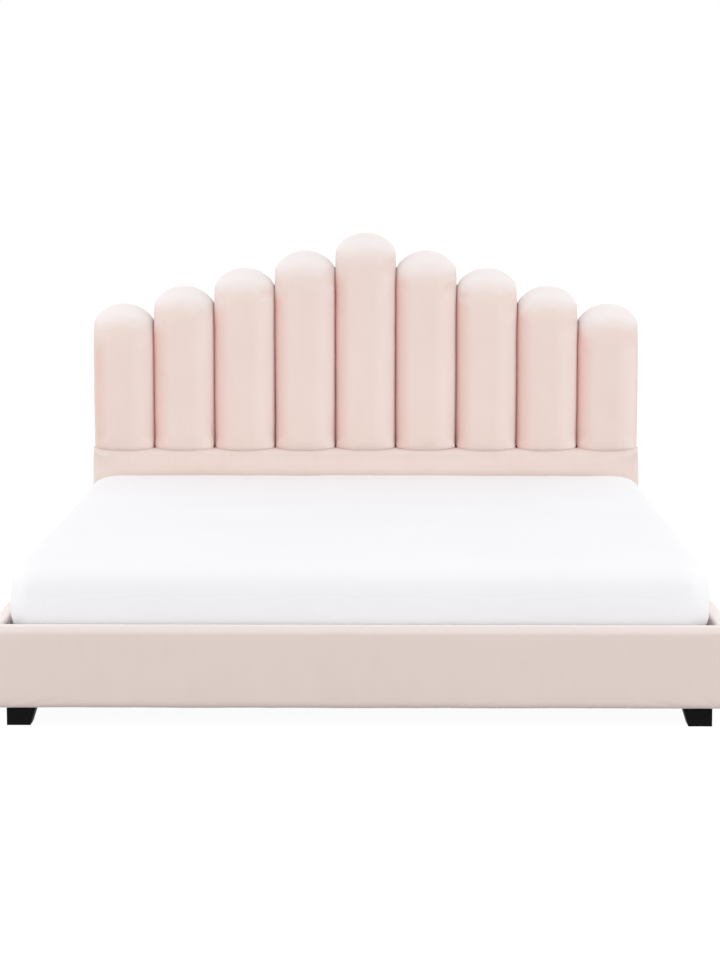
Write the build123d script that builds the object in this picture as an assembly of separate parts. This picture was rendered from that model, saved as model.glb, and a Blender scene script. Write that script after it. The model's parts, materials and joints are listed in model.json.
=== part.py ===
from build123d import *
import os
from math import sqrt

# Upholstered bed: a stepped channel headboard, a padded rail frame with a slatted base, and a loose mattress.
# Millimetres. +X is to the right seen from the foot end, +Y runs from foot to head, +Z is up.
# The origin is on the floor, under the middle of the bed.

# Mattress
mattress_width = 1800.0
mattress_length = 2000.0
mattress_height = 206.0
mattress_corner_radius = 85.0
mattress_top_radius = 70.0
mattress_bottom_radius = 40.0
mattress_cover_thickness = 10.0
mattress_sink = 50.0
mattress_side_gap = 5.0
mattress_end_gap = 5.0
soft_clearance = 0.3

# Rails
foot_height = 50.0
rail_height = 208.0
rail_board_thickness = 22.0
rail_top_foam = 12.0
rail_end_foam = 14.0
side_rail_foam = 20.0
foot_rail_foam = 25.0
fabric_wrap = 3.0
rail_return_depth = 45.0
rail_outer_radius = 20.0
rail_inner_radius = 8.0

# Headboard heights and widths
headboard_height = 1195.0
headboard_side_gap = 4.0
channel_count = 9
channel_reveal = 7.5
channel_step = 58.0
channel_arch_rise = 56.0
channel_seam_height = 491.0
channel_clearance = 0.3
band_lift = 3.0

# Headboard depths, from the back to the front
back_cover_thickness = 2.0
post_depth = 28.0
backboard_thickness = 9.0
channel_board_thickness = 9.0
channel_edge_depth = 34.0
channel_crown = 45.0
channel_top_depth = 30.0
channel_roll_radius = 110.0
channel_roll_lead = 2.0
channel_bottom_roll = 16.0
band_depth = 68.0
band_roll = 22.0
board_inset = 5.0

# Headboard border and inner frame
border_inset = 3.0
border_thickness = 8.0
border_lift = 5.0
post_width = 60.0
cross_rail_height = 60.0
lower_cross_rail_lift = 10.0
stile_width = 50.0
stile_top_margin = 110.0

# Slatted base
slat_count = 14
slat_width = 63.0
slat_thickness = 8.0
slat_bow = 8.0
slat_fit = 0.3
slat_grip = 26.0
holder_wall = 4.0
centre_holder_wall = 6.0
ledge_height = 32.0
ledge_end_gap = 7.0

# Centre beam and its legs
beam_width = 50.0
beam_height = 40.0
beam_wall = 2.0
bracket_steel = 3.0
beam_bracket_reach = 40.0
beam_bracket_flange = 30.0
centre_leg_offset = 350.0
leg_size = 30.0
leg_wall = 2.0
leg_plate_length = 90.0
leg_plug_height = 24.0
leveller_pad_radius = 20.0
leveller_pad_height = 14.0
leveller_grip_height = 6.0
leveller_stem_radius = 5.0
leveller_stem_length = 55.0
leveller_socket_depth = 9.0
leveller_fit = 0.08

# Feet and corners
foot_top_size = 75.0
foot_bottom_size = 60.0
foot_side_inset = 55.0
foot_stud_setback = 21.0
corner_block_size = 90.0
corner_block_height = 45.0
corner_bracket_leg = 55.0
corner_bracket_height = 84.0
corner_bracket_lift = 4.0
bolt_radius = 4.0
bolt_head_radius = 7.0
bolt_head_height = 4.0
bolt_hole_clearance = 0.3
corner_bolt_edge = 23.0
corner_bolt_margin = 19.0
insert_radius = 6.0
insert_backing = 4.0
foot_stud_depth = 28.0
foot_stud_rise = 32.0
post_bolt_backing = 6.0
post_bolt_inset = 12.0
post_bolt_spacing = 45.0
channel_bolt_radius = 3.0
channel_bolt_head_radius = 6.5
channel_bolt_head_height = 3.5
channel_bolt_backing = 2.0
channel_bolt_lift = 30.0
screw_radius = 2.5
screw_head_radius = 5.0
screw_head_height = 2.5
screw_backing = 7.0

# Heights that follow
rail_bottom = foot_height
rail_top = rail_bottom + rail_height
board_bottom = rail_bottom + fabric_wrap
board_top = rail_top - rail_top_foam
mattress_seat = rail_top - mattress_sink
corner_block_top = foot_height + corner_block_height
corner_bracket_bottom = corner_block_top + corner_bracket_lift
border_bottom = rail_bottom + border_lift

# Planes across the bed
rail_inner_x = mattress_width / 2 + mattress_side_gap
side_board_x = rail_inner_x + fabric_wrap
side_rail_outer_x = side_board_x + rail_board_thickness + side_rail_foam
foot_outer_x = side_rail_outer_x - foot_side_inset
slat_outer_x = side_board_x - holder_wall - soft_clearance
slat_inner_x = centre_holder_wall / 2 + soft_clearance

# Heights of the slatted base, down from the mattress: a bowed slat climbs a little inside its holder's slot
slat_crest = mattress_seat - soft_clearance
slat_end_top = slat_crest - slat_bow
slot_climb = 4 * slat_bow * slat_grip / (slat_outer_x - slat_inner_x)
slot_bottom = slat_end_top - slat_thickness - slat_fit
slot_top = slat_end_top + slot_climb + slat_fit
deck_top = slot_bottom - holder_wall
holder_top = slot_top + holder_wall
holder_width = slat_width + 2 * (slat_fit + holder_wall)
ledge_width = slat_grip + holder_wall
beam_bottom = deck_top - beam_height
band_bottom = deck_top + band_lift

# Planes along the bed, laid out from the foot and centred on the origin
foot_rail_thickness = foot_rail_foam + rail_board_thickness + fabric_wrap
channel_depth = channel_edge_depth + channel_crown
headboard_depth = back_cover_thickness + post_depth + backboard_thickness + channel_depth
bed_length = foot_rail_thickness + 2 * mattress_end_gap + mattress_length + headboard_depth
foot_face_y = -bed_length / 2
foot_inner_y = foot_face_y + foot_rail_thickness
foot_board_y = foot_inner_y - fabric_wrap
mattress_foot_y = foot_inner_y + mattress_end_gap
mattress_head_y = mattress_foot_y + mattress_length
back_y = bed_length / 2
frame_back_y = back_y - back_cover_thickness
frame_front_y = frame_back_y - post_depth
pad_back_y = frame_front_y - backboard_thickness
head_rail_y = frame_front_y - rail_board_thickness

# Channels, which fill the headboard's width between the side rails
band_width = 2 * (rail_inner_x - headboard_side_gap)
channel_width = (band_width - 2 * channel_reveal) / channel_count
channel_middle = (channel_count - 1) / 2
channel_half = channel_width / 2 - channel_clearance
channel_arch_radius = (channel_half**2 + channel_arch_rise**2) / (2 * channel_arch_rise)
channel_crown_radius = (channel_half**2 + channel_crown**2) / (2 * channel_crown)

# The frame inside the border
frame_inset = border_inset + border_thickness
post_outer_x = channel_middle * channel_width + channel_half - frame_inset
post_inner_x = post_outer_x - post_width
lower_cross_rail_z = band_bottom + lower_cross_rail_lift
middle_cross_rail_z = channel_seam_height - cross_rail_height / 2

# Lengths of fasteners, from what they hold
insert_length = rail_board_thickness - insert_backing
post_bolt_length = rail_board_thickness + post_depth - post_bolt_backing
channel_bolt_length = backboard_thickness + channel_board_thickness - channel_bolt_backing
screw_length = bracket_steel + rail_board_thickness - screw_backing
SIDES = {"left": -1, "right": 1}
ENDS = {"front": -1, "rear": 1}


def block(x, y, z):
    """A box between two limits on each axis, given in either order."""
    low = [min(pair) for pair in (x, y, z)]
    size = [abs(pair[1] - pair[0]) for pair in (x, y, z)]
    return Pos(*low) * Box(*size, align=(Align.MIN, Align.MIN, Align.MIN))


def rod(radius, start, direction, length):
    """A round bar that runs from a point along a direction."""
    centred = (Align.CENTER, Align.CENTER, Align.MIN)
    return Plane(origin=start, z_dir=direction) * Cylinder(radius, length, align=centred)


def bolt(radius, head_radius, head_height, length, seat, direction):
    """A bolt with its head on the seat and its shank along the direction."""
    outward = tuple(-value for value in direction)
    return rod(radius, seat, direction, length) + rod(head_radius, seat, outward, head_height)


def screw(seat, direction, length):
    return bolt(screw_radius, screw_head_radius, screw_head_height, length, seat, direction)


def front_plane(y):
    """A plane facing the foot end, with sketch axes along X and Z."""
    return Plane(origin=(0, y, 0), x_dir=(1, 0, 0), z_dir=(0, -1, 0))


def front_sheet(sketch, y, thickness):
    """A front outline thickened from plane y towards the foot end."""
    return extrude(front_plane(y) * sketch, thickness)


def edges_at(shape, axis, *limits):
    """The shape's straight edges along an axis that lie on the given coordinate limits."""
    found = shape.edges().filter_by(axis)
    for other, value in limits:
        found = found.filter_by_position(other, value, value)
    return found


# Channels


def channel_x(index):
    return (index - channel_middle) * channel_width


def channel_top(index):
    return headboard_height - channel_step * abs(index - channel_middle)


def channel_shoulder(index, inset):
    """Height where a channel's arched top meets its straight sides, with the outline drawn in by inset."""
    radius = channel_arch_radius - inset
    return channel_top(index) - channel_arch_radius + sqrt(radius**2 - (channel_half - inset) ** 2)


def post_top():
    """Height of the posts, which end under the shoulders of the outer channels."""
    return channel_shoulder(0, frame_inset)


def channel_outline(index, inset, bottom):
    """One channel's front outline: straight sides and an arched top, drawn in by inset."""
    x = channel_x(index)
    half = channel_half - inset
    shoulder = channel_shoulder(index, inset)
    sides = Polyline((x - half, shoulder), (x - half, bottom), (x + half, bottom), (x + half, shoulder))
    arch = ThreePointArc((x + half, shoulder), (x, channel_top(index) - inset), (x - half, shoulder))
    return make_face(sides + arch)


def headboard_outline(inset, bottom):
    """The whole headboard's front outline, drawn in by inset: band, channels and the joins between them."""
    band_top = channel_seam_height - inset
    shape = Pos(0, (bottom + band_top) / 2) * Rectangle(band_width - 2 * inset, band_top - bottom)
    for index in range(channel_count):
        shape += channel_outline(index, inset, bottom)
    for index in range(channel_count - 1):
        join_top = min(channel_shoulder(index, inset), channel_shoulder(index + 1, inset))
        middle = (channel_x(index) + channel_x(index + 1)) / 2
        shape += Pos(middle, (bottom + join_top) / 2) * Rectangle(channel_width, join_top - bottom)
    return shape


def channel_bolt_points(index):
    """One bolt above the middle cross rail and one below the upper one."""
    low = middle_cross_rail_z + cross_rail_height + channel_bolt_lift
    high = post_top() - cross_rail_height - channel_bolt_lift
    return [(channel_x(index), low), (channel_x(index), high)]


def channel_bolt_holes():
    """Clearance holes through the backboard and the channel boards."""
    radius = channel_bolt_radius + bolt_hole_clearance
    depth = backboard_thickness + channel_board_thickness
    points = [point for index in range(channel_count) for point in channel_bolt_points(index)]
    return [rod(radius, (x, frame_front_y, z), (0, -1, 0), depth) for x, z in points]


def channel_board(index):
    outline = channel_outline(index, board_inset, channel_seam_height + board_inset)
    return front_sheet(outline, pad_back_y, channel_board_thickness)


def channel_pad(index):
    """Foam and cloth over one channel board: arched in front view, crowned in plan, rolled back at the top."""
    x = channel_x(index)
    front_y = pad_back_y - channel_depth
    lead_y = front_y - channel_roll_lead
    outline = channel_outline(index, 0, band_bottom)
    arched = front_sheet(outline, pad_back_y, channel_depth + channel_roll_lead)
    crown_axis = (x, front_y + channel_crown_radius, band_bottom)
    crowned = rod(channel_crown_radius, crown_axis, (0, 0, 1), headboard_height)
    roll_y = lead_y + channel_roll_radius
    roll_reach = roll_y - (pad_back_y - channel_top_depth)
    roll_z = channel_top(index) - sqrt(channel_roll_radius**2 - roll_reach**2)
    roll_start = (lead_y, roll_z)
    roll_end = (roll_y, roll_z + channel_roll_radius)
    tuck_start = (lead_y + channel_bottom_roll, channel_seam_height)
    tuck_end = (lead_y, channel_seam_height + channel_bottom_roll)
    profile = (
        Polyline(roll_end, (roll_y, channel_seam_height), tuck_start)
        + RadiusArc(tuck_start, tuck_end, channel_bottom_roll)
        + Line(tuck_end, roll_start)
        + TangentArc(roll_start, roll_end, tangent=(0, 1))
    )
    rolled = extrude(Pos(x, 0, 0) * (Plane.YZ * make_face(profile)), channel_width, both=True)
    return (arched & crowned & rolled) - channel_board(index)


# Headboard frame


def lower_panel():
    half = band_width / 2 - board_inset
    z = (band_bottom + board_inset, channel_seam_height - board_inset)
    return block((-half, half), (pad_back_y - channel_board_thickness, pad_back_y), z)


def lower_pad():
    """The padded band under the channels, rolled over at its front edges."""
    front_y = pad_back_y - band_depth
    half = band_width / 2
    body = block((-half, half), (front_y, pad_back_y), (band_bottom, channel_seam_height - channel_clearance))
    rolled = body.edges().filter_by_position(Axis.Y, front_y, front_y)
    return fillet(rolled, band_roll) - lower_panel()


def backboard():
    outline = headboard_outline(frame_inset, band_bottom)
    sheet = front_sheet(outline, frame_front_y, backboard_thickness)
    return sheet - channel_bolt_holes()


def border():
    """The padded edge that wraps the backboard and the frame, cut back in front where the head rail passes."""
    outer = headboard_outline(border_inset, border_bottom)
    inner = headboard_outline(frame_inset, border_bottom + border_thickness)
    ring = front_sheet(outer - inner, frame_back_y, post_depth + backboard_thickness)
    passage = block((-band_width, band_width), (pad_back_y, frame_front_y), (0, band_bottom))
    return ring - passage


def back_cover():
    return front_sheet(headboard_outline(border_inset, border_bottom), back_y, back_cover_thickness)


def post_bolt_points(side):
    x = side * (post_inner_x + post_width / 2 - post_bolt_inset)
    low = corner_bracket_bottom + bolt_head_radius + post_bolt_inset
    return [(x, low), (x, low + post_bolt_spacing)]


def post(side):
    z = (border_bottom + border_thickness, post_top())
    body = block((side * post_inner_x, side * post_outer_x), (frame_front_y, frame_back_y), z)
    radius = bolt_radius + bolt_hole_clearance
    points = post_bolt_points(side)
    return body - [rod(radius, (x, head_rail_y, z), (0, 1, 0), post_bolt_length) for x, z in points]


def cross_rail(z):
    return block((-post_inner_x, post_inner_x), (frame_front_y, frame_back_y), (z, z + cross_rail_height))


def stile(side):
    """A short upright behind the channel beside the middle one, which stiffens the tall channels."""
    x = channel_x(channel_middle + side)
    z = (post_top(), channel_top(channel_middle + side) - stile_top_margin)
    return block((x - stile_width / 2, x + stile_width / 2), (frame_front_y, frame_back_y), z)


# Corners: boards, brackets, inserts and bolts share one set of points


def corner_y(end):
    """Plane of the cross member that a corner bracket is bolted to."""
    return foot_board_y if end < 0 else head_rail_y


def corner_bolt_seats(side, end):
    """Seat and direction of each bolt in one corner: two into the side rail, two into the cross member."""
    low = corner_bracket_bottom + corner_bolt_margin
    high = corner_bracket_bottom + corner_bracket_height - corner_bolt_margin
    offset = corner_bracket_leg - corner_bolt_edge
    seats = []
    for z in (low, high):
        along = (side * side_board_x, corner_y(end) - end * offset, z)
        across = (side * (side_board_x - offset), corner_y(end), z)
        seats += [(along, (side, 0, 0)), (across, (0, end, 0))]
    return seats


def all_corner_seats():
    return [seat for side in SIDES.values() for end in ENDS.values() for seat in corner_bolt_seats(side, end)]


def insert_holes():
    radius = insert_radius + bolt_hole_clearance
    depth = insert_length + bolt_hole_clearance
    return [rod(radius, seat, direction, depth) for seat, direction in all_corner_seats()]


def corner_bracket(side, end):
    """A steel angle that ties a side rail to its cross member."""
    z = (corner_bracket_bottom, corner_bracket_bottom + corner_bracket_height)
    x, y = side * side_board_x, corner_y(end)
    reach_x, reach_y = x - side * corner_bracket_leg, y - end * corner_bracket_leg
    along = block((x - side * bracket_steel, x), (reach_y, y), z)
    across = block((reach_x, x), (y - end * bracket_steel, y), z)
    radius = bolt_radius + bolt_hole_clearance
    holes = []
    for seat, direction in corner_bolt_seats(side, end):
        inward = tuple(-value for value in direction)
        holes.append(rod(radius, seat, inward, bracket_steel))
    return along + across - holes


def corner_bolts():
    bolts = []
    for seat, direction in all_corner_seats():
        head_seat = tuple(point - bracket_steel * step for point, step in zip(seat, direction))
        length = bracket_steel + insert_length
        bolts.append(bolt(bolt_radius, bolt_head_radius, bolt_head_height, length, head_seat, direction))
    return bolts


def insert_nuts():
    inner = bolt_radius + bolt_hole_clearance
    return [
        rod(insert_radius, seat, direction, insert_length) - rod(inner, seat, direction, insert_length)
        for seat, direction in all_corner_seats()
    ]


# Rails


def side_board_blank(side):
    x = (side * side_board_x, side * (side_board_x + rail_board_thickness))
    return block(x, (foot_inner_y, back_y - fabric_wrap), (board_bottom, board_top))


def side_board(side):
    return side_board_blank(side) - insert_holes()


def side_cover(side):
    """Foam and cloth around a side rail board: open inside below the folded-over edge."""
    outer_x = side * side_rail_outer_x
    inner_x = side * rail_inner_x
    body = block((inner_x, outer_x), (foot_inner_y, back_y), (rail_bottom, rail_top))
    body = fillet(edges_at(body, Axis.Y, (Axis.X, outer_x), (Axis.Z, rail_top)), rail_outer_radius)
    body = fillet(edges_at(body, Axis.Y, (Axis.X, inner_x), (Axis.Z, rail_top)), rail_inner_radius)
    body = fillet(edges_at(body, Axis.Z, (Axis.X, outer_x), (Axis.Y, back_y)), rail_inner_radius)
    window = block(
        (inner_x, side * side_board_x),
        (foot_inner_y, back_y - fabric_wrap),
        (rail_bottom, rail_top - rail_return_depth),
    )
    return body - side_board_blank(side) - window


def foot_board_blank():
    half = side_rail_outer_x - rail_end_foam
    return block((-half, half), (foot_board_y - rail_board_thickness, foot_board_y), (board_bottom, board_top))


def foot_board():
    return foot_board_blank() - insert_holes() - beam_screw_holes(-1)


def foot_cover():
    """Foam and cloth around the foot rail board, rounded at the front, the top and both ends."""
    half = side_rail_outer_x
    body = block((-half, half), (foot_face_y, foot_inner_y), (rail_bottom, rail_top))
    upright = edges_at(body, Axis.Z, (Axis.Y, foot_face_y))
    body = fillet(upright, rail_outer_radius)
    rim = body.faces().sort_by(Axis.Y)[0].edges().filter_by(Axis.X).sort_by(Axis.Z)[-1]
    body = fillet(rim, rail_outer_radius)
    body = fillet(edges_at(body, Axis.X, (Axis.Y, foot_inner_y), (Axis.Z, rail_top)), rail_inner_radius)
    window = block(
        (-side_board_x, side_board_x),
        (foot_board_y, foot_inner_y),
        (rail_bottom, rail_top - rail_return_depth),
    )
    return body - foot_board_blank() - window


def head_rail():
    """The plain cross board that closes the base at the head end and carries the headboard posts."""
    body = block((-side_board_x, side_board_x), (head_rail_y, frame_front_y), (board_bottom, deck_top))
    radius = bolt_radius + bolt_hole_clearance
    holes = [
        rod(radius, (x, head_rail_y, z), (0, 1, 0), rail_board_thickness)
        for side in SIDES.values()
        for x, z in post_bolt_points(side)
    ]
    return body - holes - insert_holes() - beam_screw_holes(1)


def post_bolts():
    return [
        bolt(bolt_radius, bolt_head_radius, bolt_head_height, post_bolt_length, (x, head_rail_y, z), (0, 1, 0))
        for side in SIDES.values()
        for x, z in post_bolt_points(side)
    ]


# Feet


def foot_centre(side, end):
    x = side * (foot_outer_x - foot_top_size / 2)
    return x, corner_y(end) - end * foot_stud_setback


def foot(side, end):
    """A tapered foot: its outer faces are upright and its inner faces lean in."""
    x, y = foot_centre(side, end)
    shift = (foot_top_size - foot_bottom_size) / 2
    bottom = Pos(x + side * shift, y + end * shift, 0) * Rectangle(foot_bottom_size, foot_bottom_size)
    top = Pos(x, y, foot_height) * Rectangle(foot_top_size, foot_top_size)
    hole = rod(bolt_radius + bolt_hole_clearance, (x, y, foot_height), (0, 0, -1), foot_stud_depth)
    return loft([bottom, top]) - hole


def corner_block(side, end):
    """A wooden block in the corner of the base that takes the foot's stud."""
    x, y = side * side_board_x, corner_y(end)
    body = block(
        (x - side * corner_block_size, x), (y - end * corner_block_size, y), (foot_height, corner_block_top)
    )
    centre = foot_centre(side, end)
    return body - rod(bolt_radius + bolt_hole_clearance, (*centre, foot_height), (0, 0, 1), corner_block_height)


def foot_studs():
    low = foot_height - foot_stud_depth
    return [
        rod(bolt_radius, (*foot_centre(side, end), low), (0, 0, 1), foot_stud_depth + foot_stud_rise)
        for side in SIDES.values()
        for end in ENDS.values()
    ]


# Slats


def ledge_span():
    """Ends of the ledges along the bed, clear of the corner brackets."""
    clear = corner_bracket_leg + ledge_end_gap
    return foot_board_y + clear, head_rail_y - clear


def slat_rows():
    """Middle line of each slat along the bed."""
    first, last = ledge_span()
    first += holder_width / 2
    last -= holder_width / 2
    pitch = (last - first) / (slat_count - 1)
    return [first + pitch * index for index in range(slat_count)]


def slat(side, y):
    """A bent plywood slat, highest in the middle of its span."""
    inner, outer = side * slat_inner_x, side * slat_outer_x
    middle = (inner + outer) / 2
    end_bottom = slat_end_top - slat_thickness
    upper = ThreePointArc((inner, slat_end_top), (middle, slat_crest), (outer, slat_end_top))
    lower = ThreePointArc((outer, end_bottom), (middle, slat_crest - slat_thickness), (inner, end_bottom))
    ends = Line((outer, slat_end_top), (outer, end_bottom)) + Line((inner, end_bottom), (inner, slat_end_top))
    return front_sheet(make_face(upper + lower + ends), y + slat_width / 2, slat_width)


def holder_body(x, y):
    return block(x, (y - holder_width / 2, y + holder_width / 2), (deck_top, holder_top))


def slat_slot(x, y):
    half = slat_width / 2 + slat_fit
    return block(x, (y - half, y + half), (slot_bottom, slot_top))


def side_holder(side, y):
    """A plastic cap on the ledge that takes a slat's outer end."""
    wall = side * (side_board_x - holder_wall)
    mouth = wall - side * slat_grip
    return holder_body((mouth, side * side_board_x), y) - slat_slot((mouth, wall), y)


def centre_holder(y):
    """A plastic double cap on the beam that takes the inner ends of two slats."""
    half = centre_holder_wall / 2 + slat_grip
    slots = [slat_slot((side * half, side * centre_holder_wall / 2), y) for side in SIDES.values()]
    return holder_body((-half, half), y) - slots


def ledge(side):
    x = (side * (side_board_x - ledge_width), side * side_board_x)
    return block(x, ledge_span(), (deck_top - ledge_height, deck_top))


# Centre beam


def beam():
    half, y = beam_width / 2, (foot_board_y + bracket_steel, head_rail_y - bracket_steel)
    tube = block((-half, half), y, (beam_bottom, deck_top))
    inside = half - beam_wall
    bore = block((-inside, inside), y, (beam_bottom + beam_wall, deck_top - beam_wall))
    return tube - bore - [rod(screw_radius + bolt_hole_clearance, *hole) for hole in leg_screw_holes()]


def beam_screw_seats(end):
    x = beam_width / 2 + bracket_steel + beam_bracket_flange / 2
    z = (beam_bottom + deck_top) / 2
    return [(side * x, corner_y(end), z) for side in SIDES.values()]


def beam_screw_holes(end):
    radius = screw_radius + bolt_hole_clearance
    return [rod(radius, seat, (0, end, 0), screw_length) for seat in beam_screw_seats(end)]


def beam_bracket(end):
    """A steel stirrup screwed to a cross member, with the beam's end lying in it."""
    y = corner_y(end)
    plate_y, reach_y = y - end * bracket_steel, y - end * (bracket_steel + beam_bracket_reach)
    half = beam_width / 2 + soft_clearance
    cheek = half + bracket_steel
    flange = cheek + beam_bracket_flange
    z = (beam_bottom - bracket_steel, deck_top)
    plate = block((-flange, flange), (plate_y, y), z)
    shelf = block((-cheek, cheek), (reach_y, plate_y), (beam_bottom - bracket_steel, beam_bottom))
    cheeks = [block((side * half, side * cheek), (reach_y, plate_y), z) for side in SIDES.values()]
    radius = screw_radius + bolt_hole_clearance
    holes = [rod(radius, seat, (0, -end, 0), bracket_steel) for seat in beam_screw_seats(end)]
    return plate + shelf + cheeks - holes


def beam_screws():
    screws = []
    for end in ENDS.values():
        for x, y, z in beam_screw_seats(end):
            screws.append(screw((x, y - end * bracket_steel, z), (0, end, 0), screw_length))
    return screws


# Centre legs and levellers


def leg_y(end):
    return end * centre_leg_offset


def leg_bottom():
    return leveller_pad_height + soft_clearance


def leg_screw_points(end):
    reach = (leg_size + leg_plate_length) / 4
    return [(0, leg_y(end) - reach), (0, leg_y(end) + reach)]


def leg_screw_holes():
    """Start, direction and length of each leg screw's hole in the beam's floor."""
    points = [point for end in ENDS.values() for point in leg_screw_points(end)]
    return [((x, y, beam_bottom), (0, 0, 1), beam_wall) for x, y in points]


def centre_leg(end):
    """A steel tube leg with a plate on top and a threaded plug in its lower end."""
    half, y = leg_size / 2, leg_y(end)
    plate_bottom = beam_bottom - bracket_steel
    tube = block((-half, half), (y - half, y + half), (leg_bottom(), plate_bottom))
    inside = half - leg_wall
    bore = block((-inside, inside), (y - inside, y + inside), (leg_bottom() + leg_plug_height, plate_bottom))
    thread = rod(leveller_stem_radius + leveller_fit, (0, y, leg_bottom()), (0, 0, 1), leg_plug_height)
    reach = leg_plate_length / 2
    plate = block((-half, half), (y - reach, y + reach), (plate_bottom, beam_bottom))
    radius = screw_radius + bolt_hole_clearance
    holes = [rod(radius, (*point, plate_bottom), (0, 0, 1), bracket_steel) for point in leg_screw_points(end)]
    return tube - bore - thread + plate - holes


def leg_screws():
    length = bracket_steel + beam_wall + screw_head_height
    seats = [(x, y, beam_bottom - bracket_steel) for end in ENDS.values() for x, y in leg_screw_points(end)]
    return [screw(seat, (0, 0, 1), length) for seat in seats]


def leveller_pad(end):
    """A round foot with a hexagon grip above it, turned by hand to raise or lower the leg."""
    y = leg_y(end)
    base_height = leveller_pad_height - leveller_grip_height
    base = rod(leveller_pad_radius, (0, y, 0), (0, 0, 1), base_height)
    hexagon = Pos(0, y, base_height) * RegularPolygon(leveller_pad_radius, 6)
    grip = extrude(hexagon, leveller_grip_height)
    socket_bottom = leveller_pad_height - leveller_socket_depth
    socket = rod(leveller_stem_radius + leveller_fit, (0, y, socket_bottom), (0, 0, 1), leveller_socket_depth)
    return base + grip - socket


def leveller_stem(end):
    low = leveller_pad_height - leveller_socket_depth + leveller_fit
    return rod(leveller_stem_radius, (0, leg_y(end), low), (0, 0, 1), leveller_stem_length)


# Mattress


def mattress_form(inset):
    """The rounded block of the mattress, drawn in by inset."""
    half = mattress_width / 2 - inset
    y = (mattress_foot_y + inset, mattress_head_y - inset)
    z = (mattress_seat + inset, mattress_seat + mattress_height - inset)
    body = block((-half, half), y, z)
    body = fillet(body.edges().filter_by(Axis.Z), mattress_corner_radius - inset)
    body = fillet(body.faces().sort_by(Axis.Z)[0].edges(), mattress_bottom_radius - inset)
    return fillet(body.faces().sort_by(Axis.Z)[-1].edges(), mattress_top_radius - inset)


def mattress_cover():
    return mattress_form(0) - mattress_form(mattress_cover_thickness)


def mattress_core():
    return mattress_form(mattress_cover_thickness + soft_clearance)


def nodes():
    """Every sub-part by name. A list holds identical pieces that share one node."""
    made = {
        "headboard_backboard": backboard(),
        "headboard_border": border(),
        "headboard_back_cover": back_cover(),
        "headboard_lower_panel": lower_panel(),
        "headboard_lower_pad": lower_pad(),
        "headboard_cross_rails": [
            cross_rail(z) for z in (lower_cross_rail_z, middle_cross_rail_z, post_top() - cross_rail_height)
        ],
        "headboard_stiles": [stile(side) for side in SIDES.values()],
        "channel_boards": [channel_board(index) - channel_bolt_holes() for index in range(channel_count)],
        "channel_bolts": [
            bolt(
                channel_bolt_radius,
                channel_bolt_head_radius,
                channel_bolt_head_height,
                channel_bolt_length,
                (x, frame_front_y, z),
                (0, -1, 0),
            )
            for index in range(channel_count)
            for x, z in channel_bolt_points(index)
        ],
        "foot_rail_board": foot_board(),
        "foot_rail_cover": foot_cover(),
        "head_rail": head_rail(),
        "post_bolts": post_bolts(),
        "corner_bolts": corner_bolts(),
        "corner_insert_nuts": insert_nuts(),
        "foot_studs": foot_studs(),
        "centre_beam": beam(),
        "beam_bracket_screws": beam_screws(),
        "centre_leg_screws": leg_screws(),
        "slat_holders_centre": [centre_holder(y) for y in slat_rows()],
        "slat_holders_side": [side_holder(side, y) for side in SIDES.values() for y in slat_rows()],
        "corner_blocks": [corner_block(side, end) for side in SIDES.values() for end in ENDS.values()],
        "mattress_cover": mattress_cover(),
        "mattress_core": mattress_core(),
    }
    for index in range(channel_count):
        made[f"channel_pad_{index + 1}"] = channel_pad(index)
    for side_name, side in SIDES.items():
        made[f"headboard_post_{side_name}"] = post(side)
        made[f"side_rail_board_{side_name}"] = side_board(side)
        made[f"side_rail_cover_{side_name}"] = side_cover(side)
        made[f"slat_ledge_{side_name}"] = ledge(side)
        made[f"slats_{side_name}"] = [slat(side, y) for y in slat_rows()]
        for end_name, end in ENDS.items():
            made[f"corner_bracket_{end_name}_{side_name}"] = corner_bracket(side, end)
            made[f"corner_foot_{end_name}_{side_name}"] = foot(side, end)
    for end_name, end in ENDS.items():
        made[f"beam_bracket_{end_name}"] = beam_bracket(end)
        made[f"centre_leg_{end_name}"] = centre_leg(end)
        made[f"leveller_stem_{end_name}"] = leveller_stem(end)
        made[f"leveller_pad_{end_name}"] = leveller_pad(end)
    return made


os.makedirs("parts", exist_ok=True)
for name, shape in nodes().items():
    solids = [solid for piece in (shape if isinstance(shape, list) else [shape]) for solid in piece.solids()]
    export_step(Compound(children=solids) if len(solids) > 1 else solids[0], f"parts/{name}.step")
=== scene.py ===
import json
from math import cos, pi, radians, sin, sqrt

import bmesh
import bpy
import numpy as np
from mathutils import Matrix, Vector, noise
from mathutils.geometry import delaunay_2d_cdt


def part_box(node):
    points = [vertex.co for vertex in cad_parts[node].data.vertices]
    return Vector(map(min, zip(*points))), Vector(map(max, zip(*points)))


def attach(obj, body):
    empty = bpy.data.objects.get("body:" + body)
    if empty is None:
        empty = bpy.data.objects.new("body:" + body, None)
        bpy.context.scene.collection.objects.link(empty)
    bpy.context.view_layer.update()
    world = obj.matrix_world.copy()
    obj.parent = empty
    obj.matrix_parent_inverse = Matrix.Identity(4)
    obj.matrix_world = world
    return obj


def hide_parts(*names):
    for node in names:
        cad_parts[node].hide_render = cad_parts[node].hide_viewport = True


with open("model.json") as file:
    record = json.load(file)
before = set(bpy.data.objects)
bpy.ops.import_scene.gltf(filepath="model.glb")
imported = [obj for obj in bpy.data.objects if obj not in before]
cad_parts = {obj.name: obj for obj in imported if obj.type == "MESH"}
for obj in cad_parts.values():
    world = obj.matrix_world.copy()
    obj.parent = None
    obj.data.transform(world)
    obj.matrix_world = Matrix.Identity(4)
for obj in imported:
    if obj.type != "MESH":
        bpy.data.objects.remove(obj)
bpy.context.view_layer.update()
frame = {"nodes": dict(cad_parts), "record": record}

# Upholstered bed with a stepped channel headboard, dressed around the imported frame.
# Metres. +X is to the right seen from the foot end, +Y runs from foot to head, +Z is up.

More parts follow.
